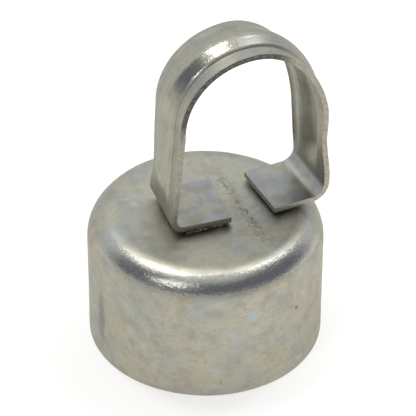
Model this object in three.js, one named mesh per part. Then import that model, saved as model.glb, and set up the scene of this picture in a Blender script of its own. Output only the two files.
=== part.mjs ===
/**
 * Pressed-steel loop cap for a round fence post.
 *
 * A deep-drawn cup drops over the post's end, and a beaded strip bent into a D-shaped loop carries
 * the top rail across it. The strip's two ends are turned inwards as feet and spot-welded to the
 * cup's top. Millimetres, +Z up. The origin is the middle of the cup's ceiling, where the post's
 * end seats. The rail runs along Y, through the loop, and the loop stands in the XZ plane.
 */
import * as THREE from 'three';

// Cup
const SHEET = 1.3;              // thickness of the sheet, cup and strip alike
const CUP_RADIUS = 26.8;        // outside, at the shoulder's foot
const CUP_HEIGHT = 32.25;       // outside, rim to top
const CUP_DRAFT = 0.1;          // how much wider the radius is at the rim
const SHOULDER_RADIUS = 6.5;    // outside radius of the drawn shoulder
const CUP_SIDES = 72;
const SHOULDER_STEPS = 7;

// Loop: the strip's own section
const STRIP_WIDTH = 15.2;
const BEAD_HEIGHT = 1.4;        // how far the bead's crown stands out of the strip
const BEAD_CROWN = -0.6;        // where the crown lies, from the strip's middle towards +Y
const BEAD_FRONT = 3.4;         // width of the bead in front of its crown: a ramp that ends in a step
const BEAD_BACK = 6.2;          // width of the bead behind its crown
const RAMP_SHARE = 0.69;        // share of the bead's height that the ramp takes; the step has the rest
const RAMP_START = 0.3;         // share of the ramp's width in which the crown turns into it
const STEP_FROM = 3.05;         // where the step begins and ends, in front of the crown
const STEP_TO = 3.5;
const DROOP = 0.5;              // how far the back flange's edge turns inwards
const BEAD_START = 3.0;         // height above the feet where the bead begins
const BEAD_FULL = 9.5;          // height above the feet where it has its full depth
const STRIP_STEPS = 104;
const STRIP_WIDTH_STEPS = 14;

// Loop: the path of the middle of the sheet, seen along Y, from the loop's own centre.
// Lengths in millimetres, twists in degrees about the upright.
const LOOP_OFFSET = new THREE.Vector2(8.9, 1.9);   // of the loop's centre from the cup's axis
const LOOP_HEIGHT = 40.6;       // underside of the feet to the top of the arch's flanges
const FOOT_GAP = 0.8;           // between the cup's top and the feet, filled at the welds
const WAIST_FROM = 3.5;         // the near flange is pinched from here to its edge,
const WAIST_HEIGHT = 14;        // most of all this far above the feet,
const WAIST_SPREAD = 9;         // and not at all this far above and below that
const APEX_X = 0.85;
const TWIST_END = 24;           // height above the feet where the feet's own twist has gone
const LEAN = 3.1;               // degrees that the loop leans towards +Y
const LEFT = {
  footEnd: -5.2,
  legFoot: -18.65,
  bend: 2.2,                    // radius of the bottom bend
  waist: 0,                     // depth of the near flange's pinch
  legTop: -16.25,
  shoulder: 16.4,               // height of the arch's quarter on this side
  fullness: 0.57,               // 0.552 is a true ellipse, more is squarer
  footTwist: -4.0,
  archTwist: 0.5,
  shift: -0.85,                 // of the foot along Y
};
const RIGHT = {
  footEnd: 4.05,
  legFoot: 17.3,
  bend: 3.8,
  waist: 0.8,
  legTop: 17.8,
  shoulder: 22.0,
  fullness: 0.555,
  footTwist: 2.9,
  archTwist: 5.5,
  shift: -1.85,
};

// Welds
const WELD_RADIUS = 3.2;
const WELD_SIDES = 20;
const FLASH_WIDTH = 4.6;        // of the metal squeezed out beside the left weld
const FLASH_PAST_EDGE = 0.5;

const CUP_TOP = SHEET;                       // height of the cup's outer top face
const FEET_LEVEL = CUP_TOP + FOOT_GAP;       // height of the feet's undersides

/** A mesh named as its part, with the finish of its metal. */
function part(name, geometry, color, roughness, metalness) {
  const mesh = new THREE.Mesh(geometry, new THREE.MeshStandardMaterial({ color, roughness, metalness }));
  mesh.name = name;
  return mesh;
}

/** Points of a quarter circle in the cup's profile, from one angle to another, in degrees. */
function profileArc(centreX, centreY, radius, from, to) {
  const angles = Array.from({ length: SHOULDER_STEPS + 1 }, (_, i) => from + (to - from) * i / SHOULDER_STEPS);
  return angles.map(THREE.MathUtils.degToRad).map(
    (angle) => new THREE.Vector2(centreX + radius * Math.cos(angle), centreY + radius * Math.sin(angle)),
  );
}

/** The drawn cup: its half profile, from the ceiling's middle round the rim to the top's middle. */
function cup() {
  const rim = CUP_TOP - CUP_HEIGHT;
  const inner = SHOULDER_RADIUS - SHEET;
  const turn = CUP_RADIUS - SHOULDER_RADIUS;
  const profile = [
    new THREE.Vector2(0, 0),
    ...profileArc(turn, -inner, inner, 90, 0),
    new THREE.Vector2(CUP_RADIUS + CUP_DRAFT - SHEET, rim),
    new THREE.Vector2(CUP_RADIUS + CUP_DRAFT, rim),
    ...profileArc(turn, -inner, SHOULDER_RADIUS, 0, 90),
    new THREE.Vector2(0, CUP_TOP),
  ];
  return new THREE.LatheGeometry(profile, CUP_SIDES).rotateX(Math.PI / 2);
}

/** A quarter of the arch, as a cubic curve with level and upright ends. */
function archQuarter(side, level, top) {
  const reach = APEX_X - side.legTop;
  return new THREE.CubicBezierCurve(
    new THREE.Vector2(side.legTop, level),
    new THREE.Vector2(side.legTop, level + side.fullness * side.shoulder),
    new THREE.Vector2(APEX_X - side.fullness * reach, top),
    new THREE.Vector2(APEX_X, top),
  );
}

/** One half of the loop's path, from the foot's tip up to the apex. */
function halfPath(side, inward) {
  const foot = SHEET / 2;
  const top = LOOP_HEIGHT - SHEET / 2;
  const bendX = side.legFoot + inward * side.bend;
  const legTop = new THREE.Vector2(side.legTop, top - side.shoulder);
  const legFoot = new THREE.Vector2(side.legFoot, foot + side.bend);
  const outward = inward > 0 ? Math.PI : 0;
  return [
    new THREE.LineCurve(new THREE.Vector2(side.footEnd, foot), new THREE.Vector2(bendX, foot)),
    new THREE.EllipseCurve(bendX, foot + side.bend, side.bend, side.bend, -Math.PI / 2, outward, inward > 0),
    new THREE.LineCurve(legFoot, legTop),
    archQuarter(side, legTop.y, top),
  ];
}

/** How much of the bead or of the legs' twist there is: 0 up to one height, 1 from the other. */
function rise(height, start, full) {
  return THREE.MathUtils.smoothstep(height, start, full);
}

/** The strip: a flat blank, its middle pressed out as a bead, bent along the loop's path. */
function strip() {
  const halves = [halfPath(LEFT, 1), halfPath(RIGHT, -1)];
  const path = halves.map((curves) => {
    const half = new THREE.CurvePath();
    curves.forEach((curve) => half.add(curve));
    return half;
  });
  const lengths = path.map((half) => half.getLength());
  const total = lengths[0] + lengths[1];
  const blank = new THREE.BoxGeometry(total, STRIP_WIDTH, SHEET, STRIP_STEPS, STRIP_WIDTH_STEPS, 1);
  const position = blank.attributes.position;
  const point = new THREE.Vector3();
  for (let i = 0; i < position.count; i += 1) {
    point.fromBufferAttribute(position, i);
    const along = point.x + total / 2;
    const onLeft = along <= lengths[0];
    const side = onLeft ? LEFT : RIGHT;
    const half = path[onLeft ? 0 : 1];
    const share = onLeft ? along / lengths[0] : (total - along) / lengths[1];
    const centre = half.getPointAt(THREE.MathUtils.clamp(share, 0, 1));
    const tangent = half.getTangentAt(THREE.MathUtils.clamp(share, 0, 1)).multiplyScalar(onLeft ? 1 : -1);
    bendPoint(point, side, centre, tangent);
    position.setXYZ(i, point.x, point.y, point.z);
  }
  blank.computeVertexNormals();
  return blank;
}

/** How far the bead's section stands out of the strip, at a distance from its middle towards +Y. */
function bead(across) {
  const behind = across - BEAD_CROWN;
  if (behind > 0) {
    const flange = Math.max(0, behind - BEAD_BACK) / (STRIP_WIDTH / 2 - BEAD_CROWN - BEAD_BACK);
    return BEAD_HEIGHT * (0.5 + 0.5 * Math.cos(Math.min(1, behind / BEAD_BACK) * Math.PI)) - DROOP * flange ** 2;
  }
  const ramp = Math.min(1, -behind / BEAD_FRONT);
  const fall = ramp < RAMP_START ? ramp ** 2 / (2 * RAMP_START) : ramp - RAMP_START / 2;
  const step = rise(-behind, STEP_FROM, STEP_TO);
  return BEAD_HEIGHT * (1 - RAMP_SHARE * fall / (1 - RAMP_START / 2) - (1 - RAMP_SHARE) * step);
}

/** Moves one point of the blank to where its place along the path puts it. */
function bendPoint(point, side, centre, tangent) {
  const height = centre.y - SHEET / 2;
  const square = rise(height, side.bend, TWIST_END);
  const footTwist = THREE.MathUtils.degToRad(side.footTwist) * (1 - square);
  const archShare = Math.min(1, (centre.x - APEX_X) / (side.legTop - APEX_X));
  const twist = footTwist + THREE.MathUtils.degToRad(side.archTwist) * square * archShare;
  const edge = rise(-point.y, WAIST_FROM, STRIP_WIDTH / 2);
  const waist = side.waist * edge * (1 - rise(Math.abs(height - WAIST_HEIGHT), 0, WAIST_SPREAD));
  const out = point.z + rise(height, BEAD_START, BEAD_FULL) * bead(point.y) - waist;
  const reach = centre.x - side.legFoot;
  const across = point.y;
  const level = -tangent.y * out;
  const x = side.legFoot + reach * Math.cos(footTwist) - across * Math.sin(twist) + level * Math.cos(twist);
  const y = side.shift * (1 - square) + reach * Math.sin(footTwist) + across * Math.cos(twist)
    + level * Math.sin(twist);
  const z = centre.y + tangent.x * out;
  point.set(LOOP_OFFSET.x + x, LOOP_OFFSET.y + y + z * Math.tan(THREE.MathUtils.degToRad(LEAN)), FEET_LEVEL + z);
}

/** The middle of a foot's flat, on the cup's top. */
function footCentre(side, inward) {
  const reach = (side.footEnd - side.legFoot + inward * side.bend) / 2;
  const twist = THREE.MathUtils.degToRad(side.footTwist);
  return new THREE.Vector2(
    LOOP_OFFSET.x + side.legFoot + reach * Math.cos(twist),
    LOOP_OFFSET.y + side.shift + reach * Math.sin(twist),
  );
}

/** A weld's outline: a round nugget, with or without a tongue of metal squeezed out towards -Y. */
function weld(side, inward, tongue) {
  const centre = footCentre(side, inward);
  const outline = new THREE.Shape();
  if (tongue > 0) {
    const half = FLASH_WIDTH / 2;
    const corner = Math.acos(half / WELD_RADIUS);
    outline.moveTo(-half, -tongue + half / 2);
    outline.quadraticCurveTo(-half, -tongue, 0, -tongue);
    outline.quadraticCurveTo(half, -tongue, half, -tongue + half / 2);
    outline.absarc(0, 0, WELD_RADIUS, -corner, Math.PI + corner, false);
  } else {
    outline.absarc(0, 0, WELD_RADIUS, 0, 2 * Math.PI, false);
  }
  const settings = { depth: FOOT_GAP, bevelEnabled: false, curveSegments: WELD_SIDES };
  return new THREE.ExtrudeGeometry(outline, settings).translate(centre.x, centre.y, CUP_TOP);
}

const loopCap = new THREE.Group();
loopCap.name = 'loop_cap';
loopCap.add(part('cap_cup', cup(), 0xa3a198, 0.42, 0.9));
loopCap.add(part('loop_strap', strip(), 0x9d9b93, 0.45, 0.9));
loopCap.add(part('weld_left', weld(LEFT, 1, STRIP_WIDTH / 2 + FLASH_PAST_EDGE), 0x6b675f, 0.6, 0.8));
loopCap.add(part('weld_right', weld(RIGHT, -1, 0), 0x6b675f, 0.6, 0.8));

export default loopCap;
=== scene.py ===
"""Pressed-steel loop cap: a drawn cup for a round post, with a beaded strip loop welded on its top."""

import math

import bmesh
import bpy
from mathutils import Matrix, Quaternion, Vector, noise


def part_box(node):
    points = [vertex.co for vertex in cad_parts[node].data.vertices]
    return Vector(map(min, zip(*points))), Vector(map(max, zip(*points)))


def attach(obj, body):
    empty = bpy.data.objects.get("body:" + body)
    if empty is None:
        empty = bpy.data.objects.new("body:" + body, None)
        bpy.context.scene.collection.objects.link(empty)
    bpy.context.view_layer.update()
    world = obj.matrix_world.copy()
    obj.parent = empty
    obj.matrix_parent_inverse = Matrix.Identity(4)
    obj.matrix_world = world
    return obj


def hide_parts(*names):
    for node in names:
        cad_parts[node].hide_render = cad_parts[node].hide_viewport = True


bl_info = {
    "name": "Post loop cap",
    "version": (1, 0, 0),
    "blender": (4, 5, 0),
    "location": "View3D > Sidebar > Loop Cap",
    "description": "Builds a zinc-plated post cap with its welded rail loop, and a plain stage for it",
    "category": "Object",
}

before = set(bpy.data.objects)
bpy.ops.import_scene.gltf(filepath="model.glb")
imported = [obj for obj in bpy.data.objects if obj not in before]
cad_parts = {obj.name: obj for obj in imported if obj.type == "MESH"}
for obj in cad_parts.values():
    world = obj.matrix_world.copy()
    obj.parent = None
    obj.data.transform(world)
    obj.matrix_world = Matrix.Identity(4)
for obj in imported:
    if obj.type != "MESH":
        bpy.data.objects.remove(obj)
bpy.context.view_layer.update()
CUP_LOW, CUP_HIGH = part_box("cap_cup")
STRAP_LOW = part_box("loop_strap")[0]
MM = 0.001

# The rough line of spatter runs along Y at this X, between the feet's tips.
SCAR_X = 7.6 * MM


# ---------------------------------------------------------------- settings


def length(name, description, default, **more):
    """A length property, in metres."""
    return bpy.props.FloatProperty(
        name=name, description=description, default=default, unit="LENGTH", precision=5, **more
    )


def angle(name, description, degrees):
    """An angle property, given in degrees."""
    return bpy.props.FloatProperty(
        name=name, description=description, default=math.radians(degrees), subtype="ANGLE"
    )


def paint(name, description, hexadecimal):
    """A colour property, given as an sRGB hex value and held as linear light."""
    return bpy.props.FloatVectorProperty(
        name=name, description=description, default=linear(hexadecimal)[:3],
        subtype="COLOR", size=3, min=0, max=1,
    )


def linear(hexadecimal):
    """An sRGB hex colour such as "b5b0a0" as linear RGBA."""
    channels = [int(hexadecimal[i : i + 2], 16) / 255 for i in (0, 2, 4)]
    return (*[c / 12.92 if c <= 0.04045 else ((c + 0.055) / 1.055) ** 2.4 for c in channels], 1.0)


class CupSettings(bpy.types.PropertyGroup):
    """Sizes of the drawn cup."""

    sheet: length("Sheet", "Thickness of the sheet", CUP_HIGH.z)
    rim_radius: length("Rim radius", "Outside radius at the mouth", CUP_HIGH.x)
    draft: length("Draft", "How much narrower the wall is under the shoulder", 0.1 * MM)
    rim_height: length("Rim", "Height of the mouth's edge, below the ceiling", CUP_LOW.z)
    shoulder: length("Shoulder", "Outside radius of the rounded shoulder", 6.5 * MM)
    trim: length("Trimmed edge", "Radius left on the rim's corners by trimming", 0.3 * MM)
    scar_height: length("Scar height", "How high the spatter between the feet stands", 0.14 * MM)
    unevenness: length("Unevenness", "How far the drawn sheet strays from true", 0.07 * MM)


class StrapSettings(bpy.types.PropertyGroup):
    """Sizes of the beaded strip, and of the loop that it is bent into."""

    sheet: length("Sheet", "Thickness of the strip", 1.3 * MM)
    width: length("Width", "Width of the strip", 15.2 * MM)
    bead_height: length("Bead height", "How far the bead stands out of the strip", 1.4 * MM)
    bead_crown: length("Bead crown", "From the strip's middle back to the bead's crown", -0.6 * MM)
    bead_front: length("Bead front", "Width of the bead in front of its crown", 3.4 * MM)
    ramp_share: bpy.props.FloatProperty(
        name="Ramp share", description="Share of the bead's height that its front ramp takes",
        default=0.69, subtype="FACTOR", min=0, max=1,
    )
    bead_back: length("Bead back", "Width of the bead behind its crown", 6.2 * MM)
    droop: length("Droop", "How far the back flange's edge turns inwards", 0.5 * MM)
    bead_start: length("Bead start", "Height above the feet where the bead begins", 3.0 * MM)
    bead_full: length("Bead full", "Height above the feet where the bead is at its full depth", 9.5 * MM)
    height: length("Height", "From the feet's undersides to the top of the flanges", 40.6 * MM)
    twist_end: length("Twist end", "Height above the feet where the feet's twist has gone", 24.0 * MM)
    offset_x: length("Offset X", "From the cup's axis to the loop's centre", 8.9 * MM)
    offset_y: length("Offset Y", "From the cup's axis to the loop's centre", 1.9 * MM)
    apex: length("Apex", "Place of the arch's top, from the loop's centre", 0.85 * MM)
    lean: angle("Lean", "How far the loop leans back", 3.1)


class WeldSettings(bpy.types.PropertyGroup):
    """Sizes of the spot welds."""

    radius: length("Nugget radius", "Radius of the fused nugget", 3.2 * MM)
    flash_right: length("Flash right", "How far squeezed-out metal runs on past the weld's right", 1.2 * MM)
    flash_left: length("Flash left", "How far squeezed-out metal runs on past the weld's left", 2.4 * MM)


class FinishSettings(bpy.types.PropertyGroup):
    """Colours of the metals."""

    zinc: paint("Zinc", "Warm grey of the plated sheet", "b3af9e")
    zinc_cool: paint("Cool zinc", "Bluish clouds in the plating", "a0a7a8")
    zinc_pale: paint("Pale zinc", "Pale patches in the plating", "bebaab")
    zinc_brown: paint("Brown zinc", "Thin brown staining of the plating", "9c907a")
    drip: paint("Drip", "Pale bluish drips dried on the plating", "a9b4b3")
    rub: paint("Rub", "Dark mark rubbed on the wall", "868989")
    spatter: paint("Spatter", "Brown spatter between the feet", "8b8272")
    burnish: paint("Burnish", "Zinc rubbed bright by the drawing die", "b5b3aa")
    heat_tint: paint("Heat tint", "Purplish film around the welds", "9b9ca7")
    straw_tint: paint("Straw tint", "Straw-brown film further from the welds", "9f9178")
    sheared: paint("Sheared edge", "Bare torn steel at the strip's cut edges", "a19d90")
    # This colour is the real dark of the pinholes, and also painted shade on the cut edges along the arch's
    # left.
    scale: paint("Pinholes and edge shade", "Dark of the pinholes, and painted shade on the arch's cut edges", "55534f")
    weld: paint("Weld metal", "Oxidised weld metal", "4a463e")
    floor: paint("Floor", "The stage's floor", "bcbcbb")


class StageSettings(bpy.types.PropertyGroup):
    """The camera's place and its lens."""

    azimuth: angle("Azimuth", "The camera's turn about the object", -23.2)
    elevation: angle("Elevation", "The camera's height above the horizon", 37.5)
    roll: angle("Roll", "The camera's turn about its own line of sight", 0.33)
    distance: length("Distance", "From the camera to the point that it looks at", 0.570)
    aim: bpy.props.FloatVectorProperty(
        name="Aim", description="The point that the camera looks at",
        default=(0.5 * MM, -0.2 * MM, 1.7 * MM), subtype="TRANSLATION", precision=5,
    )
    focal_length: bpy.props.FloatProperty(
        name="Focal length", description="The camera's focal length in millimetres",
        default=218.9, unit="CAMERA",
    )


# One side of the loop, in metres from the loop's centre: the foot's tip, the leg's foot and top, the
# height of its quarter of the arch, how full that quarter is (0.552 is an ellipse), the twists of its
# foot and of its leg's top in degrees, the foot's shift along Y, the radius of the bend above the
# foot, how far the near flange is squeezed in at the waist, and the waist's middle and its reach.
LEFT = {
    "foot_end": -5.2 * MM, "leg_foot": -18.65 * MM, "leg_top": -16.25 * MM, "shoulder": 16.4 * MM,
    "fullness": 0.57, "foot_twist": -4.0, "arch_twist": 0.5, "shift": -0.85 * MM, "bend": 2.2 * MM,
    "waist": 0.0, "waist_at": (11 * MM, 8 * MM),
}
RIGHT = {
    "foot_end": 4.05 * MM, "leg_foot": 17.3 * MM, "leg_top": 17.8 * MM, "shoulder": 22.0 * MM,
    "fullness": 0.555, "foot_twist": 2.9, "arch_twist": 5.5, "shift": -1.85 * MM, "bend": 3.8 * MM,
    "waist": 0.8 * MM, "waist_at": (14 * MM, 9 * MM),
}


def settings():
    """The scene's own settings."""
    return bpy.context.scene.loop_cap


class LoopCapSettings(bpy.types.PropertyGroup):
    """Everything that a user would change."""

    cup: bpy.props.PointerProperty(type=CupSettings)
    strap: bpy.props.PointerProperty(type=StrapSettings)
    weld: bpy.props.PointerProperty(type=WeldSettings)
    finish: bpy.props.PointerProperty(type=FinishSettings)
    stage: bpy.props.PointerProperty(type=StageSettings)


# ---------------------------------------------------------------- mesh helpers


def smoothstep(value, start, full):
    """0 up to start, 1 from full, and smooth between."""
    share = min(1.0, max(0.0, (value - start) / (full - start)))
    return share * share * (3 - 2 * share)


def finished(bm, name, materials):
    """A shaded object of the bmesh, at the origin, with its materials."""
    mesh = bpy.data.meshes.new(name)
    bm.to_mesh(mesh)
    bm.free()
    mesh.shade_smooth()
    for material in materials:
        mesh.materials.append(material)
    piece = bpy.data.objects.new(name, mesh)
    bpy.context.scene.collection.objects.link(piece)
    return piece


def draw_line(bm, vertex, end, steps):
    """Draws the profile on to end in equal steps, and returns its last vertex."""
    step = (Vector(end) - vertex.co) / steps
    for _ in range(steps):
        made = bmesh.ops.extrude_vert_indiv(bm, verts=[vertex])
        vertex = made["verts"][0]
        vertex.co += step
    return vertex


def draw_arc(bm, vertex, centre, degrees, steps):
    """Turns the profile's end about a centre in the XZ plane, and returns its last vertex."""
    made = bmesh.ops.spin(
        bm, geom=[vertex], cent=centre, axis=(0, 1, 0),
        angle=math.radians(degrees), steps=steps, use_duplicate=False,
    )
    return next(item for item in made["geom_last"] if isinstance(item, bmesh.types.BMVert))


def place(piece, node):
    """Rides the piece on the only body, in place of its CAD node."""
    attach(piece, "root")
    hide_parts(node)


# ---------------------------------------------------------------- material helpers


def add(tree, kind, inputs=(), output=0, **settings_of_node):
    """Adds a node, sets or links its live inputs by name or in order, and returns a live output."""
    node = tree.nodes.new("ShaderNode" + kind)
    for name, value in settings_of_node.items():
        setattr(node, name, value)
    sockets = [socket for socket in node.inputs if socket.enabled]
    if isinstance(inputs, dict):
        sockets = [next(socket for socket in sockets if socket.name == name) for name in inputs]
        inputs = inputs.values()
    for socket, value in zip(sockets, inputs):
        if isinstance(value, bpy.types.NodeSocket):
            tree.links.new(value, socket)
        else:
            socket.default_value = value
    if isinstance(output, str):
        return node.outputs[output]
    return [socket for socket in node.outputs if socket.enabled][output]


def opaque(colour):
    """A colour property as RGBA."""
    return (*colour, 1.0)


def new_metal(name):
    """An empty material with a metallic surface, and its tree, shader and object coordinates."""
    material = bpy.data.materials.new(name)
    material.use_nodes = True
    tree = material.node_tree
    shader = tree.nodes["Principled BSDF"]
    shader.inputs["Metallic"].default_value = 1.0
    # The oxide film keeps the plating from turning white at a glancing angle.
    shader.inputs["Specular Tint"].default_value = linear("ddddda")
    return material, tree, shader, add(tree, "TexCoord", output="Object")


def dress(tree, shader, colour, roughness, normal):
    """Links a surface's three patterns to its shader."""
    for name, value in (("Base Color", colour), ("Roughness", roughness), ("Normal", normal)):
        tree.links.new(value, shader.inputs[name])


def blotches(tree, where, size, begin, full, strength=1.0, detail=3.0, stretch=(1.0, 1.0, 1.0)):
    """A mask of soft blotches, size millimetres across, from the noise level begin to the level full."""
    placed = add(tree, "Mapping", {"Vector": where, "Scale": stretch})
    grain = add(
        tree, "TexNoise", {"Vector": placed, "Scale": 1 / (size * MM), "Detail": detail, "Roughness": 0.55}
    )
    return add(tree, "MapRange", [grain, begin, full, 0.0, strength], interpolation_type="SMOOTHSTEP")


def spot(tree, where, centre, inner, outer, strength=1.0, tall=1.0):
    """A mask that is full within inner millimetres of a point, gone past outer, and drawn out along Z."""
    x, y, z = centre
    offset = add(tree, "VectorMath", [where, (x * MM, y * MM, z * MM)], operation="SUBTRACT")
    squashed = add(tree, "VectorMath", [offset, (1.0, 1.0, 1.0 / tall)], operation="MULTIPLY")
    away = add(tree, "VectorMath", [squashed], output="Value", operation="LENGTH")
    return add(
        tree, "MapRange", [away, inner * MM, outer * MM, strength, 0.0], interpolation_type="SMOOTHSTEP"
    )


def band(tree, level, low, high, soft):
    """A mask that is full between two levels of a coordinate and gone soft millimetres beyond them."""
    above = add(
        tree, "MapRange", [level, (low - soft) * MM, low * MM, 0.0, 1.0], interpolation_type="SMOOTHSTEP"
    )
    below = add(
        tree, "MapRange", [level, high * MM, (high + soft) * MM, 1.0, 0.0], interpolation_type="SMOOTHSTEP"
    )
    return add(tree, "Math", [above, below], operation="MULTIPLY")


# ---------------------------------------------------------------- materials


# Pale dried drips of the plating bath on the cup: centre and radius in millimetres, and strength.
PALE_DRIPS = (
    ((0.1, -26.7, -9.4), 1.9, 0.8), ((-8.2, -25.5, -24.0), 1.1, 0.6), ((13.3, -23.2, -17.6), 1.6, 0.5),
    ((-12.0, -24.0, -16.5), 0.9, 0.5), ((1.4, -13.8, 1.3), 1.2, 0.5), ((-22.3, 0.1, 0.9), 1.3, 0.6),
    ((14.2, 13.2, 1.3), 1.2, 0.5), ((-24.0, 12.0, -14.0), 1.8, 0.5), ((9.0, 25.2, -10.0), 1.5, 0.5),
)

# Brown stains of weld spatter on the cup's top: centre and radius in millimetres.
SPATTER_STAINS = (((7.6, -12.5, 1.3), 4.4), ((7.5, 7.0, 1.3), 3.4))

# The middle of a long dark rub on the cup's wall, in millimetres.
RUB_MARK = (-26.6, -2.9, -19.5)

# Dark pinholes in the plating: centre and radius in millimetres.
PINHOLES = (
    ((11.8, -24.0, -12.7), 0.7), ((-14.4, -21.8, -2.5), 0.3), ((7.5, -25.7, -16.1), 0.3),
    ((-2.8, -25.9, -2.3), 0.3), ((-7.0, -25.8, -27.0), 0.35), ((-19.0, 19.0, -12.0), 0.4),
)


def plating_colour(tree, where, more_layers):
    """The clouded colour of thin zinc plating: warm grey, bluish clouds, brown stains and small scuffs.

    Each layer is a colour and its mask, and more_layers lie over the plating's own.
    """
    finish = settings().finish
    grain = blotches(tree, where, 0.6, 0.35, 0.7, 0.3, detail=2.0)
    layers = (
        (finish.zinc_brown, grain),
        (finish.zinc_cool, blotches(tree, where, 8.0, 0.42, 0.64, 0.55, detail=6.0)),
        (finish.zinc_pale, blotches(tree, where, 3.5, 0.52, 0.70, 0.5, detail=4.0)),
        (finish.zinc_brown, blotches(tree, where, 4.0, 0.46, 0.68, 0.45, detail=8.0)),
        (finish.rub, blotches(tree, where, 1.5, 0.55, 0.70, 0.3, detail=6.0, stretch=(0.6, 0.6, 1.2))),
        *more_layers,
    )
    colour = opaque(finish.zinc)
    for tone, mask in layers:
        colour = add(tree, "Mix", [mask, colour, opaque(tone)], data_type="RGBA")
    return colour


def spatter_mask(tree, where, ragged_where):
    """Brown crumbs of weld spatter: a rough line between the feet, with a wider stain at each end."""
    x = add(tree, "SeparateXYZ", [where], output="X")
    y = add(tree, "SeparateXYZ", [where], output="Y")
    height = add(tree, "SeparateXYZ", [where], output="Z")
    sway = add(tree, "TexNoise", {"Vector": y, "Scale": 1 / (6 * MM)})
    wander = add(tree, "MapRange", [sway, 0.0, 1.0, -MM, MM])
    # In millimetres: across the line, along it from foot to foot, and from the cup's top upwards.
    line = band(tree, add(tree, "Math", [x, wander], operation="ADD"), 7.2, 8.2, 1.2)
    between_feet = band(tree, y, -15.0, 8.0, 3.0)
    on_top = band(tree, height, 1.1, 3.0, 0.2)
    mask = add(tree, "Math", [line, between_feet], operation="MULTIPLY")
    mask = add(tree, "Math", [mask, on_top], operation="MULTIPLY")
    for centre, radius in SPATTER_STAINS:
        stain = spot(tree, ragged_where, centre, 1.0, radius, 0.8)
        mask = add(tree, "Math", [mask, stain], operation="MAXIMUM")
    crumbs = blotches(tree, where, 0.9, 0.40, 0.68, 0.75, detail=4.0)
    return add(tree, "Math", [mask, crumbs], operation="MULTIPLY")


# The burnished band on the cup's shoulder: the heights where it begins and is full, those where it
# starts to fade and has gone, the way that it faces, and how far that way it begins and is full.
BURNISH_BELOW = (-1.95 * MM, -1.5 * MM)
BURNISH_ABOVE = (0.55 * MM, 1.2 * MM)
BURNISH_FACING = (-0.34, -0.94, 0.0)
BURNISH_AHEAD = (3 * MM, 11 * MM)


def burnish_mask(tree, where):
    """Where the die's radius burnished the shoulder: soft at the top, ragged below, and only in front."""
    height = add(tree, "SeparateXYZ", [where], output="Z")
    ragged = blotches(tree, where, 0.5, 0.2, 0.8, 1.1 * MM, detail=4.0)
    ragged_height = add(tree, "Math", [height, ragged], operation="ADD")
    from_below = add(tree, "MapRange", [ragged_height, *BURNISH_BELOW], interpolation_type="SMOOTHSTEP")
    from_above = add(tree, "MapRange", [height, *BURNISH_ABOVE, 1.0, 0.0], interpolation_type="SMOOTHSTEP")
    # Handling dulled it again at the back.
    forward = add(tree, "VectorMath", [where, BURNISH_FACING], output="Value", operation="DOT_PRODUCT")
    in_front = add(tree, "MapRange", [forward, *BURNISH_AHEAD], interpolation_type="SMOOTHSTEP")
    # Small pits were left dull.
    pits = blotches(tree, where, 0.55, 0.58, 0.68, 0.7)
    unpitted = add(tree, "Math", [1.0, pits], operation="SUBTRACT")
    mask = from_below
    for part in (from_above, in_front, unpitted):
        mask = add(tree, "Math", [mask, part], operation="MULTIPLY")
    return mask


def drawn_cup_metal():
    """Zinc-plated deep-drawn mild steel: satin and clouded, and bright where the die's radius rubbed it."""
    finish = settings().finish
    material, tree, shader, where = new_metal("zinc-plated drawn mild steel")
    wobble = add(
        tree, "TexNoise", {"Vector": where, "Scale": 1 / (1.2 * MM), "Detail": 3.0}, output="Color"
    )
    shake = add(tree, "VectorMath", [wobble, (0.5, 0.5, 0.5)], operation="SUBTRACT")
    reach = (2 * MM, 2 * MM, 2 * MM)
    ragged_where = add(tree, "VectorMath", [shake, reach, where], operation="MULTIPLY_ADD")
    brown = spatter_mask(tree, where, ragged_where)
    burnished = burnish_mask(tree, where)
    # The punch drags the wall downwards, so its faint marks are long and upright.
    layers = [(finish.zinc_cool, blotches(tree, where, 1.3, 0.5, 0.8, 0.3, stretch=(1.0, 1.0, 0.12)))]
    for centre, radius, strength in PALE_DRIPS:
        layers.append((finish.drip, spot(tree, ragged_where, centre, 0.7 * radius, radius, strength)))
    layers.append((finish.rub, spot(tree, ragged_where, RUB_MARK, 0.6, 2.2, 0.8, tall=5.0)))
    # Handling left a few short scratches, most of them level.
    scratches = blotches(tree, where, 2.4, 0.68, 0.74, 0.4, detail=2.0, stretch=(0.22, 0.22, 3.0))
    layers.append((finish.rub, scratches))
    for centre, radius in PINHOLES:
        layers.append((finish.scale, spot(tree, where, centre, 0.4 * radius, radius, 0.7)))
    layers.append((finish.spatter, brown))
    layers.append((finish.burnish, burnished))
    colour = plating_colour(tree, where, layers)
    grit = blotches(tree, where, 0.3, 0.3, 0.7)
    satin = blotches(tree, where, 2.4, 0.3, 0.7)
    dull = add(tree, "MapRange", [satin, 0.0, 1.0, 0.35, 0.45])
    bright = add(tree, "MapRange", [grit, 0.0, 1.0, 0.13, 0.24])
    roughness = add(tree, "Mix", [burnished, dull, bright])
    waves = blotches(tree, where, 3.0, 0.0, 1.0, detail=2.0)
    ripple = add(tree, "Bump", {"Height": waves, "Distance": 0.05 * MM})
    rough_line = add(tree, "Bump", {"Height": brown, "Distance": 0.12 * MM, "Normal": ripple})
    normal = add(tree, "Bump", {"Height": grit, "Distance": 0.02 * MM, "Normal": rough_line})
    dress(tree, shader, colour, roughness, normal)
    return material


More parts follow.
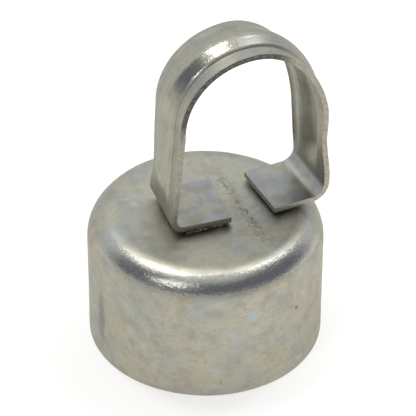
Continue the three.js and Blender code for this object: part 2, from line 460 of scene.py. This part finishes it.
def rolled_strap_metal():
    """Zinc-plated mild steel strip, rolled: fine streaks run lengthwise, and its feet are heat-tinted."""
    finish = settings().finish
    material, tree, shader, where = new_metal("zinc-plated rolled steel strip")
    flat = add(tree, "UVMap", uv_map="strip")
    x = add(tree, "SeparateXYZ", [where], output="X")
    height = add(tree, "SeparateXYZ", [where], output="Z")
    across = add(tree, "SeparateXYZ", [flat], output="Y")
    streaks = blotches(tree, flat, 0.7, 0.35, 0.7, stretch=(0.03, 1.0, 1.0), detail=4.0)
    feet = band(tree, height, 0.0, 4.5, 5.0)
    above_feet = add(tree, "MapRange", [feet, 0.0, 1.0, 1.0, 0.2])
    lines = add(tree, "Math", [streaks, above_feet], operation="MULTIPLY")
    # The heat of the welds left a purplish film on the feet, and a straw-brown one.
    purple = blotches(tree, where, 4.2, 0.38, 0.64, 0.7, detail=4.0)
    straw = blotches(tree, where, 3.4, 0.46, 0.66, 0.75, detail=6.0)
    layers = (
        (finish.zinc_cool, 0.15),
        (finish.zinc_brown, add(tree, "Math", [lines, 0.3], operation="MULTIPLY")),
        (finish.heat_tint, add(tree, "Math", [feet, purple], operation="MULTIPLY")),
        (finish.straw_tint, add(tree, "Math", [feet, straw], operation="MULTIPLY")),
    )
    colour = plating_colour(tree, where, layers)
    # The forming roller polished the bead's ramp where it was bent round the arch's left.
    polished = band(tree, across, -3.4, 0.5, 0.8)
    for part in (band(tree, height, 39.0, 60.0, 6.0), band(tree, x, -30.0, 6.0, 5.0)):
        polished = add(tree, "Math", [polished, part], operation="MULTIPLY")
    satin = add(tree, "MapRange", [lines, 0.0, 1.0, 0.35, 0.48])
    roughness = add(tree, "Mix", [polished, satin, 0.23])
    waves = blotches(tree, where, 2.6, 0.0, 1.0, detail=2.0)
    ripple = add(tree, "Bump", {"Height": waves, "Distance": 0.04 * MM})
    rolled = add(tree, "Bump", {"Height": lines, "Distance": 0.03 * MM, "Normal": ripple})
    grit = blotches(tree, where, 0.35, 0.3, 0.7)
    normal = add(tree, "Bump", {"Height": grit, "Distance": 0.01 * MM, "Normal": rolled})
    dress(tree, shader, colour, roughness, normal)
    return material


def sheared_edge_metal():
    """Sheared mild steel: half smooth cut and half torn, so it is duller and rougher than the faces."""
    finish = settings().finish
    material, tree, shader, where = new_metal("sheared mild steel edge")
    x = add(tree, "SeparateXYZ", [where], output="X")
    height = add(tree, "SeparateXYZ", [where], output="Z")
    torn = blotches(tree, where, 0.6, 0.35, 0.7, detail=5.0)
    bare = add(tree, "Mix", [torn, opaque(finish.sheared), opaque(finish.zinc)], data_type="RGBA")
    # Painted shade: the cut edges along the arch's left are painted dark, for there they face down towards
    # the shaded cup top and reflect it; elsewhere the edges keep the bare colour.
    edge_shade = add(tree, "MapRange", [torn, 0.0, 1.0, 1.0, 0.8])
    for part in (band(tree, height, 30.0, 60.0, 6.0), band(tree, x, -30.0, 15.0, 6.0)):
        edge_shade = add(tree, "Math", [edge_shade, part], operation="MULTIPLY")
    colour = add(tree, "Mix", [edge_shade, bare, opaque(finish.scale)], data_type="RGBA")
    roughness = add(tree, "MapRange", [torn, 0.0, 1.0, 0.55, 0.38])
    normal = add(tree, "Bump", {"Height": torn, "Distance": 0.015 * MM})
    dress(tree, shader, colour, roughness, normal)
    return material


def weld_metal():
    """Resistance-weld metal squeezed out of the joint: dark oxide, lumpy, with small bright beads."""
    finish = settings().finish
    material, tree, shader, where = new_metal("oxidised weld metal")
    lumps = blotches(tree, where, 0.8, 0.35, 0.7, detail=4.0)
    colour = add(tree, "Mix", [lumps, opaque(finish.weld), opaque(finish.zinc_brown)], data_type="RGBA")
    roughness = add(tree, "MapRange", [lumps, 0.0, 1.0, 0.62, 0.36])
    normal = add(tree, "Bump", {"Height": lumps, "Distance": 0.1 * MM})
    dress(tree, shader, colour, roughness, normal)
    return material


def studio_floor():
    """Matt paper that glows a little as well as being lit from over, so shadows stay faint; its glow fades
    to the left, a painted shadow.
    """
    material = bpy.data.materials.new("matt paper")
    material.use_nodes = True
    tree = material.node_tree
    shader = tree.nodes["Principled BSDF"]
    shader.inputs["Base Color"].default_value = opaque(settings().finish.floor)
    shader.inputs["Roughness"].default_value = 0.95
    shader.inputs["Specular IOR Level"].default_value = 0.0
    shader.inputs["Emission Color"].default_value = linear("fffdf9")
    x = add(tree, "SeparateXYZ", [add(tree, "TexCoord", output="Object")], output="X")
    # Painted shadow: the glow fades towards the left, so the cup's wall reflects a dimmer floor on its
    # left, as if the cup's shadow fell there.
    glow = add(tree, "MapRange", [x, -70 * MM, 40 * MM, 0.57, 0.70], interpolation_type="SMOOTHSTEP")
    tree.links.new(glow, shader.inputs["Emission Strength"])
    return material


# ---------------------------------------------------------------- pieces


class LOOPCAP_OT_cup(bpy.types.Operator):
    """Draws the cup's profile, spins it round the axis, and leaves the sheet a little uneven"""

    bl_idname = "loopcap.cup"
    bl_label = "Drawn cup"

    around = 192
    # The lengths of the sheet's slow and quick waves, and the quick one's share.
    slow_wave = 14 * MM
    quick_wave = 5 * MM
    quick_share = 0.35
    # The line of spatter: how far it wanders and over what length, the distances from its middle where
    # it thins out and ends, across and along it, its middle's Y, and the size of its lumps.
    scar_wander = 0.8 * MM
    scar_wave = 6 * MM
    scar_sides = (0.4 * MM, 1.3 * MM)
    scar_ends = (10 * MM, 14 * MM)
    scar_middle = -4 * MM
    scar_lump = 0.9 * MM

    def execute(self, context):
        cup = settings().cup
        top, rim, edge = cup.sheet, cup.rim_height, cup.trim
        wall = cup.rim_radius - cup.draft
        turn = wall - cup.shoulder
        inner = cup.shoulder - cup.sheet
        bm = bmesh.new()
        pen = bm.verts.new((0, 0, top))
        pen = draw_line(bm, pen, (turn, 0, top), steps=40)
        pen = draw_arc(bm, pen, (turn, 0, top - cup.shoulder), 90, steps=16)
        pen = draw_line(bm, pen, (cup.rim_radius, 0, rim + edge), steps=22)
        pen = draw_arc(bm, pen, (cup.rim_radius - edge, 0, rim + edge), 90, steps=3)
        pen = draw_line(bm, pen, (cup.rim_radius - cup.sheet + edge, 0, rim), steps=1)
        pen = draw_arc(bm, pen, (cup.rim_radius - cup.sheet + edge, 0, rim + edge), 90, steps=3)
        pen = draw_line(bm, pen, (wall - cup.sheet, 0, -inner), steps=16)
        pen = draw_arc(bm, pen, (turn, 0, -inner), -90, steps=12)
        draw_line(bm, pen, (0, 0, 0), steps=10)
        bmesh.ops.spin(
            bm, geom=bm.verts[:] + bm.edges[:], cent=(0, 0, 0), axis=(0, 0, 1),
            angle=math.tau, steps=self.around, use_merge=True, use_duplicate=False,
        )
        bmesh.ops.remove_doubles(bm, verts=bm.verts, dist=0.001 * MM)
        bmesh.ops.recalc_face_normals(bm, faces=bm.faces)
        for vertex in bm.verts:
            self.unsettle(vertex, cup)
        piece = finished(bm, "cup", [drawn_cup_metal()])
        place(piece, "cap_cup")
        return {"FINISHED"}

    def unsettle(self, vertex, cup):
        """Moves one point by the slow waviness that a press leaves in a drawn sheet."""
        slow = noise.noise(vertex.co / self.slow_wave)
        quick = noise.noise(vertex.co / self.quick_wave + Vector((7.0, 3.0, 1.0)))
        outward = Vector((vertex.co.x, vertex.co.y, 0)) / cup.rim_radius
        lift = Vector((0, 0, 1)) * smoothstep(vertex.co.z, cup.sheet - cup.shoulder, cup.sheet)
        vertex.co += (outward + lift) * cup.unevenness * (slow + self.quick_share * quick)
        if vertex.co.z > cup.sheet / 2:
            vertex.co.z += self.scar(vertex.co, cup)

    def scar(self, point, cup):
        """How high the spatter stands in the rough line between the feet."""
        wander = self.scar_wander * noise.noise(Vector((0, point.y / self.scar_wave, 0.5)))
        beside = 1 - smoothstep(abs(point.x - SCAR_X - wander), *self.scar_sides)
        along = 1 - smoothstep(abs(point.y - self.scar_middle), *self.scar_ends)
        lumps = 0.5 + 0.5 * noise.noise(point / self.scar_lump)
        return cup.scar_height * beside * along * lumps


class LOOPCAP_OT_strap(bpy.types.Operator):
    """Cuts the strip's blank, presses its bead and bends it into the loop"""

    bl_idname = "loopcap.strap"
    bl_label = "Beaded strap loop"

    steps_along = 300
    steps_across = 56
    # Share of the ramp in which the crown turns into it, and how far the step starts before the bead's
    # edge and ends past it.
    crown_turn = 0.3
    step_before = 0.35 * MM
    step_past = 0.1 * MM
    # From the strip's middle to where the near flange begins.
    flange_start = 3.5 * MM
    # Width of the broken corners, and the sharpest angle between faces that isn't a corner.
    corner_width = 0.28 * MM
    corner_limit = math.radians(60)

    def execute(self, context):
        strap = settings().strap
        halves = [self.half_path(strap, LEFT, 1), self.half_path(strap, RIGHT, -1)]
        lengths = [sum((b - a).length for a, b in zip(path, path[1:])) for path in halves]
        total = sum(lengths)
        bm = bmesh.new()
        bmesh.ops.create_grid(bm, x_segments=self.steps_along, y_segments=self.steps_across, size=0.5)
        bmesh.ops.scale(bm, vec=(total, strap.width, 1), verts=bm.verts)
        layer = bm.loops.layers.uv.new("strip")
        for face in bm.faces:
            for loop in face.loops:
                loop[layer].uv = loop.vert.co.xy
        for vertex in bm.verts:
            station = vertex.co.x + total / 2
            if station <= lengths[0]:
                centre, tangent = self.at(halves[0], station)
                vertex.co = self.bent(strap, LEFT, centre, tangent, vertex.co.y)
            else:
                centre, tangent = self.at(halves[1], total - station)
                vertex.co = self.bent(strap, RIGHT, centre, -tangent, vertex.co.y)
        piece = finished(bm, "strap_loop", [rolled_strap_metal(), sheared_edge_metal()])
        self.thicken(piece, strap)
        place(piece, "loop_strap")
        return {"FINISHED"}

    def half_path(self, strap, side, inward):
        """Closely spaced points of one half of the loop, as (x, z), from the foot's tip to the apex."""
        level = strap.sheet / 2
        top = strap.height - strap.sheet / 2
        radius = side["bend"]
        bend_x = side["leg_foot"] + inward * radius
        bend = [
            Vector((bend_x - inward * radius * math.sin(turn), level + radius * (1 - math.cos(turn))))
            for turn in [math.radians(3 * i) for i in range(31)]
        ]
        foot = [bend[0].lerp(Vector((side["foot_end"], level)), 1 - i / 20) for i in range(20)]
        leg_top = Vector((side["leg_top"], top - side["shoulder"]))
        leg = [bend[-1].lerp(leg_top, i / 40) for i in range(1, 40)]
        apex = Vector((strap.apex, top))
        rise = Vector((0, side["fullness"] * side["shoulder"]))
        reach = Vector((side["fullness"] * (strap.apex - side["leg_top"]), 0))
        arch = [self.bezier(leg_top, leg_top + rise, apex - reach, apex, i / 90) for i in range(91)]
        return foot + bend + leg + arch

    def bezier(self, start, start_pull, end_pull, end, share):
        """A point of a cubic curve."""
        rest = 1 - share
        return (
            start * rest**3 + start_pull * 3 * rest**2 * share
            + end_pull * 3 * rest * share**2 + end * share**3
        )

    def at(self, path, station):
        """The point and the direction of a path at a distance along it."""
        for a, b in zip(path, path[1:]):
            step = (b - a).length
            if station <= step or b is path[-1]:
                return a.lerp(b, min(1.0, station / step)), (b - a).normalized()
            station -= step

    def bent(self, strap, side, centre, tangent, across):
        """Where the bend puts a point of the blank: centre is its (x, z) and tangent its course there."""
        height = centre.y - strap.sheet / 2
        square = smoothstep(height, side["bend"], strap.twist_end)
        foot_twist = math.radians(side["foot_twist"]) * (1 - square)
        arch_share = min(1.0, (centre.x - strap.apex) / (side["leg_top"] - strap.apex))
        twist = foot_twist + math.radians(side["arch_twist"]) * square * arch_share
        out = self.pressed(strap, height, across) - self.pinched(strap, side, height, across)
        reach = centre.x - side["leg_foot"]
        level = -tangent.y * out
        x = (
            side["leg_foot"] + reach * math.cos(foot_twist)
            - across * math.sin(twist) + level * math.cos(twist)
        )
        y = (
            side["shift"] * (1 - square) + reach * math.sin(foot_twist)
            + across * math.cos(twist) + level * math.sin(twist)
        )
        z = centre.y + tangent.x * out
        return Vector((strap.offset_x + x, strap.offset_y + y + z * math.tan(strap.lean), STRAP_LOW.z + z))

    def pinched(self, strap, side, height, across):
        """How far the near flange is squeezed in at the leg's waist."""
        middle, spread = side["waist_at"]
        near_middle = 1 - smoothstep(abs(height - middle), 0, spread)
        near_edge = smoothstep(-across, self.flange_start, strap.width / 2)
        return side["waist"] * near_edge * near_middle

    def pressed(self, strap, height, across):
        """How far the rollers push the strip out, at a distance from its middle towards the back."""
        depth = smoothstep(height, strap.bead_start, strap.bead_full)
        behind = across - strap.bead_crown
        if behind > 0:
            bulge = 0.5 + 0.5 * math.cos(min(1.0, behind / strap.bead_back) * math.pi)
            flange_width = strap.width / 2 - strap.bead_crown - strap.bead_back
            flange = max(0.0, behind - strap.bead_back) / flange_width
            return depth * (strap.bead_height * bulge - strap.droop * flange**2)
        # In front the crown turns into an even ramp, then a short steep step drops to the near flange.
        turned = self.crown_turn
        ramp = min(1.0, -behind / strap.bead_front)
        fall = ramp**2 / (2 * turned) if ramp < turned else ramp - turned / 2
        step = smoothstep(
            -behind, strap.bead_front - self.step_before, strap.bead_front + self.step_past
        )
        share = strap.ramp_share
        return depth * strap.bead_height * (1 - share * fall / (1 - turned / 2) - (1 - share) * step)

    def thicken(self, piece, strap):
        """Gives the strip its thickness, its sheared edges their metal, and its corners a small bevel."""
        solid = piece.modifiers.new("thickness", "SOLIDIFY")
        solid.thickness = strap.sheet
        solid.offset = 0
        solid.use_even_offset = True
        solid.material_offset_rim = 1
        corners = piece.modifiers.new("broken corners", "BEVEL")
        corners.width = self.corner_width
        corners.segments = 3
        corners.limit_method = "ANGLE"
        corners.angle_limit = self.corner_limit


class LOOPCAP_OT_welds(bpy.types.Operator):
    """Adds the two welds between the feet and the cup, with the metal squeezed out of the left one"""

    bl_idname = "loopcap.welds"
    bl_label = "Spot welds"

    # The cuts along the ridge of squeezed-out metal, the sizes of its large and small lumps and of its
    # bends, the small lumps' share, and how far lumps and bends move it, as shares of the gap.
    ridge_cuts = 36
    large_lump = 0.9 * MM
    small_lump = 0.35 * MM
    bend_length = 0.8 * MM
    small_share = 0.6
    lump_rise = 0.35
    bend_reach = 0.45

    def execute(self, context):
        metal = weld_metal()
        for node in ("weld_left", "weld_right"):
            low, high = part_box(node)
            bm = bmesh.new()
            self.nugget(bm, low, high)
            if node == "weld_left":
                self.flash(bm, low, high)
            place(finished(bm, node.replace("weld", "nugget"), [metal]), node)
        return {"FINISHED"}

    def nugget(self, bm, low, high):
        """A fused disc that fills the gap, at the +Y end of the weld's box."""
        weld = settings().weld
        gap = high.z - low.z
        centre = Vector(((low.x + high.x) / 2, high.y - weld.radius, (low.z + high.z) / 2))
        bmesh.ops.create_cone(
            bm, cap_ends=True, segments=48, radius1=weld.radius, radius2=weld.radius, depth=gap,
            matrix=Matrix.Translation(centre),
        )
        sides = [e for e in bm.edges if abs(e.verts[0].co.z - e.verts[1].co.z) < 0.1 * gap]
        bmesh.ops.bevel(
            bm, geom=sides, offset=0.3 * gap, segments=3, profile=0.5, affect="EDGES", material=-1
        )

    def flash(self, bm, low, high):
        """A lumpy ridge of frozen metal along the foot's near edge."""
        weld = settings().weld
        gap = high.z - low.z
        right, left = high.x + weld.flash_right, low.x - weld.flash_left
        run = right - left
        lay = Matrix.Translation(((right + left) / 2, low.y + 0.75 * gap, low.z + 0.5 * gap))
        bmesh.ops.create_cone(
            bm, cap_ends=True, segments=14, radius1=0.5 * gap, radius2=0.5 * gap, depth=run,
            matrix=lay @ Matrix.Rotation(math.pi / 2, 4, "Y"),
        )
        long_edges = [edge for edge in bm.edges if edge.calc_length() > 0.9 * run]
        cut = bmesh.ops.subdivide_edges(bm, edges=long_edges, cuts=self.ridge_cuts, use_grid_fill=True)
        ridge = {v for item in cut["geom"] if isinstance(item, bmesh.types.BMEdge) for v in item.verts}
        for vertex in ridge:
            lump = noise.noise(vertex.co / self.large_lump)
            lump += self.small_share * noise.noise(vertex.co / self.small_lump)
            vertex.co.z += self.lump_rise * gap * lump
            bend = noise.noise(Vector((vertex.co.x / self.bend_length, 0, 2.0)))
            vertex.co.y += self.bend_reach * gap * bend
            vertex.co.z = min(max(vertex.co.z, low.z), high.z)


class LOOPCAP_OT_stage(bpy.types.Operator):
    """Sets the plain floor, the soft studio lights and the camera"""

    bl_idname = "loopcap.stage"
    bl_label = "Stage"

    # Each light: the direction that it comes from, its distance and its two sides in metres, and its watts.
    softboxes = {
        "overhead left": ((-0.16, 0.30, 0.93), 1.2, (0.22, 0.36), 3.3),
        "overhead right": ((0.46, 0.16, 0.88), 1.2, (0.14, 0.30), 1.9),
        "front lamp": ((-0.635, -0.375, 0.672), 1.2, (0.09, 0.10), 1.5),
    }

    # The room's colours: its walls, near the table, the dim part in front, and overhead.
    walls = "eff5fc"
    near_table = "f9f8f5"
    in_front = "7c818e"
    overhead = "edeff1"

    def execute(self, context):
        self.floor()
        for name, (direction, distance, sides, power) in self.softboxes.items():
            self.light(name, Vector(direction).normalized() * distance, sides, power)
        self.surroundings()
        self.camera()
        context.scene.view_settings.view_transform = "Standard"
        return {"FINISHED"}

    def floor(self):
        """A wide plain floor just under the cup's rim."""
        bm = bmesh.new()
        bmesh.ops.create_circle(bm, cap_ends=True, segments=96, radius=6.0)
        bmesh.ops.translate(bm, verts=bm.verts, vec=(0, 0, CUP_LOW.z - 0.1 * MM))
        finished(bm, "floor", [studio_floor()])

    def light(self, name, place_at, sides, power):
        """A rectangular softbox that faces the object."""
        data = bpy.data.lights.new(name, "AREA")
        data.shape = "RECTANGLE"
        data.size, data.size_y = sides
        data.energy = power
        lamp = bpy.data.objects.new(name, data)
        lamp.location = place_at
        lamp.rotation_euler = (-place_at).to_track_quat("-Z", "Y").to_euler()
        bpy.context.scene.collection.objects.link(lamp)

    def surroundings(self):
        """A room that is bright near the table, dim in front and pale behind."""
        world = bpy.data.worlds.new("studio")
        bpy.context.scene.world = world
        world.use_nodes = True
        tree = world.node_tree
        where = add(tree, "TexCoord", output="Generated")
        z = add(tree, "SeparateXYZ", [where], output="Z")
        # Z is the sine of the elevation. The dim part is in front, is full between about 13 and 53 degrees
        # up, and reaches round past both sides.
        ahead = add(
            tree, "VectorMath", [where, (-0.30, -0.95, 0.0)], output="Value", operation="DOT_PRODUCT"
        )
        front = add(tree, "MapRange", [ahead, -0.45, -0.15, 0.0, 1.0], interpolation_type="SMOOTHSTEP")
        under = add(tree, "MapRange", [z, 0.08, 0.22, 0.0, 1.0], interpolation_type="SMOOTHSTEP")
        over = add(tree, "MapRange", [z, 0.80, 0.95, 1.0, 0.0], interpolation_type="SMOOTHSTEP")
        height = add(tree, "Math", [under, over], operation="MULTIPLY")
        dim = add(tree, "Math", [front, height], operation="MULTIPLY")
        low = add(tree, "MapRange", [z, 0.05, 0.2, 1.0, 0.0], interpolation_type="SMOOTHSTEP")
        zenith = add(tree, "MapRange", [z, 0.82, 0.95, 0.0, 1.0], interpolation_type="SMOOTHSTEP")
        colour = linear(self.walls)
        for tone, mask in ((self.near_table, low), (self.in_front, dim), (self.overhead, zenith)):
            colour = add(tree, "Mix", [mask, colour, linear(tone)], data_type="RGBA")
        tree.links.new(colour, tree.nodes["Background"].inputs["Color"])

    def camera(self):
        """The camera, with no depth of field and no shift."""
        stage = settings().stage
        data = bpy.data.cameras.new("camera")
        data.lens = stage.focal_length
        data.sensor_width = 36.0
        data.clip_end = 20.0
        flat = math.cos(stage.elevation)
        back = Vector((
            math.sin(stage.azimuth) * flat, -math.cos(stage.azimuth) * flat, math.sin(stage.elevation)
        ))
        camera = bpy.data.objects.new("camera", data)
        camera.location = Vector(stage.aim) + back * stage.distance
        facing = (-back).to_track_quat("-Z", "Y") @ Quaternion((0, 0, 1), stage.roll)
        camera.rotation_euler = facing.to_euler()
        bpy.context.scene.collection.objects.link(camera)
        bpy.context.scene.camera = camera


class LOOPCAP_PT_panel(bpy.types.Panel):
    """Lists the pieces and their sizes"""

    bl_label = "Loop Cap"
    bl_idname = "LOOPCAP_PT_panel"
    bl_space_type = "VIEW_3D"
    bl_region_type = "UI"
    bl_category = "Loop Cap"

    groups = (
        ("cup", "loopcap.cup"),
        ("strap", "loopcap.strap"),
        ("weld", "loopcap.welds"),
        ("stage", "loopcap.stage"),
    )

    def draw(self, context):
        for group, operator in self.groups:
            box = self.layout.box()
            box.operator(operator)
            values = getattr(settings(), group)
            for name in values.__annotations__:
                box.prop(values, name)
        finish = self.layout.box()
        for name in settings().finish.__annotations__:
            finish.prop(settings().finish, name)


CLASSES = (
    CupSettings, StrapSettings, WeldSettings, FinishSettings, StageSettings, LoopCapSettings,
    LOOPCAP_OT_cup, LOOPCAP_OT_strap, LOOPCAP_OT_welds, LOOPCAP_OT_stage, LOOPCAP_PT_panel,
)


def register():
    for cls in CLASSES:
        bpy.utils.register_class(cls)
    bpy.types.Scene.loop_cap = bpy.props.PointerProperty(type=LoopCapSettings)


def unregister():
    del bpy.types.Scene.loop_cap
    for cls in reversed(CLASSES):
        bpy.utils.unregister_class(cls)


def main():
    register()
    bpy.ops.loopcap.stage()
    bpy.ops.loopcap.cup()
    bpy.ops.loopcap.strap()
    bpy.ops.loopcap.welds()


if __name__ == "__main__":
    main()
